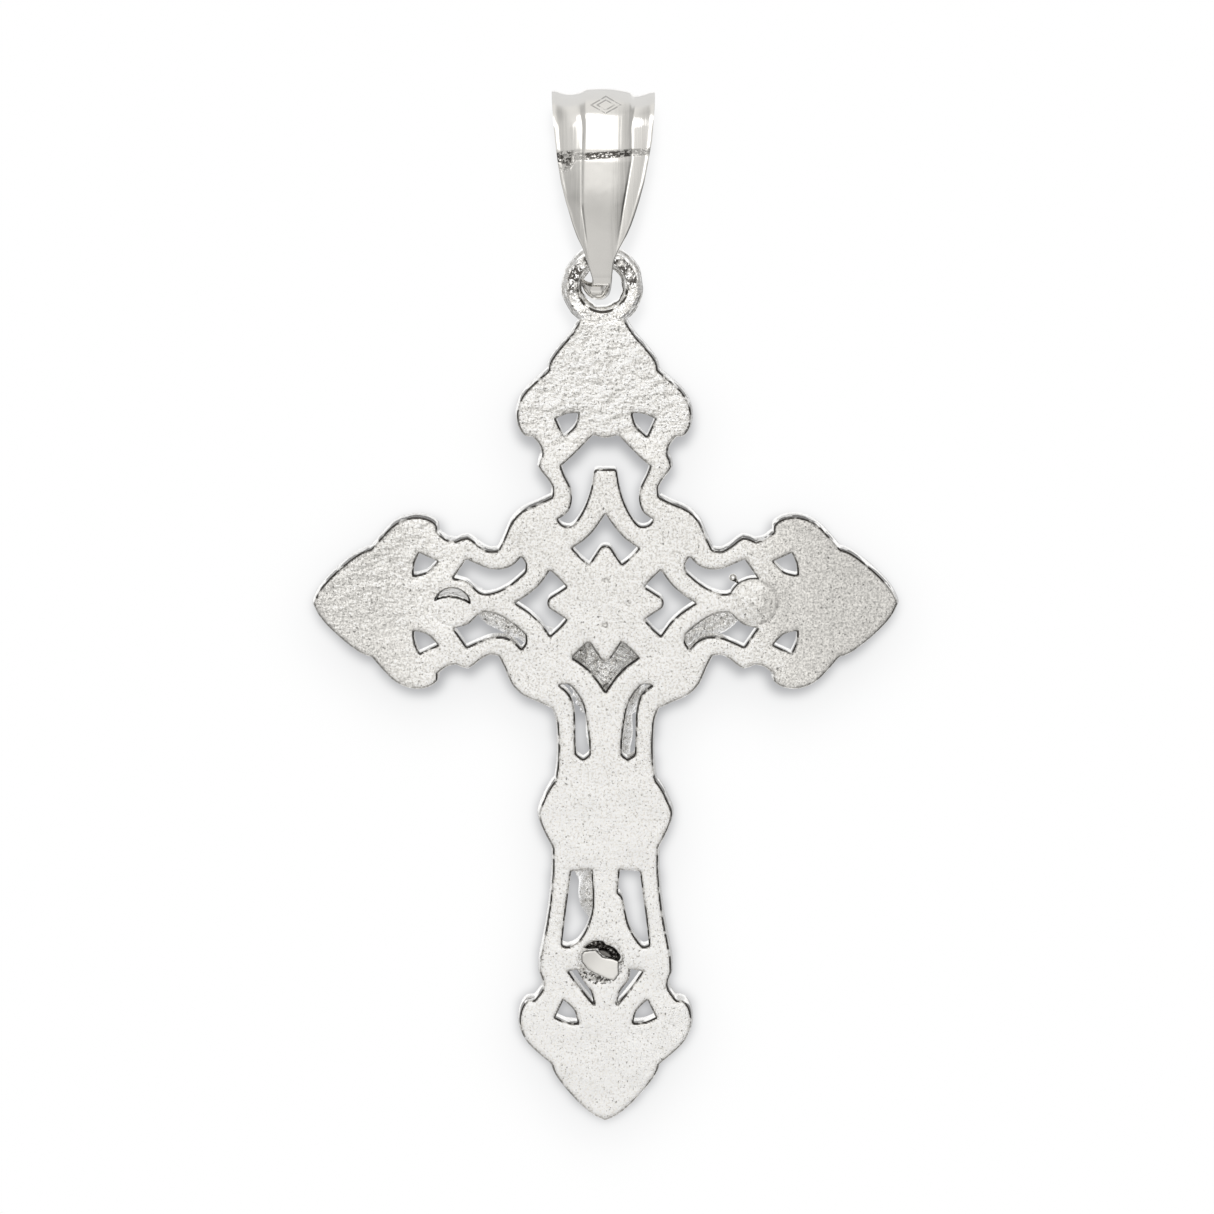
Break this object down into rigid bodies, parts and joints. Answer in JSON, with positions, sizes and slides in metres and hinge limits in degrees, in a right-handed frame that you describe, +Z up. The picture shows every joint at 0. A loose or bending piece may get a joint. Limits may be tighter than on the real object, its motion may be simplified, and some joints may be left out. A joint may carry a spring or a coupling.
{
  "type": "crucifix pendant",
  "caption": "Cast openwork crucifix pendant with pointed trefoil arm ends, a separate figure soldered to its front, and a fluted strip bail that swings in the eye at its top.",
  "frame": {"origin": "on the flat back face of the cross, at the centre of the crossing, which is the mount flat_back", "axes": "+Z up the cross to the eye; -Y out of the flat back, which the picture shows; +Y out of the front, which carries the figure; +X to the right as the back is seen"},
  "size_m": [0.0248, 0.005, 0.0446],
  "materials": {
    "cast_silver": "sand-blasted cast sterling silver, satin, with fine dark pores",
    "corpus_silver": "cast sterling silver, semi-polished, darkened in the folds",
    "solder_smooth": "silver solder, blasted with the back of the cross",
    "solder_bright": "silver solder, bright",
    "solder_bead_silver": "silver solder bead, bright",
    "pin_ground": "ground and polished silver facet",
    "solder_rough": "rough, pitted and darkened silver solder",
    "silver_mirror": "mirror-polished sterling silver sheet",
    "solder_line": "polished solder line"
  },
  "bodies": {
    "cross": {"cross_plate": "cast_silver", "corpus": "corpus_silver", "hand_solder_right": "solder_smooth", "hand_solder_left": "solder_bright", "solder_bead": "solder_bead_silver", "foot_pin": "pin_ground", "foot_solder": "solder_rough"},
    "bail": {"bail_strip": "silver_mirror", "bail_seam_solder": "solder_line"}
  },
  "joints": [
    {"name": "bail_swing", "type": "hinge", "parent": "cross", "child": "bail", "pos_m": [0, 0.0006, 0.01476], "axis": [1, 0, 0], "range_deg": [-75, 75]}
  ]
}
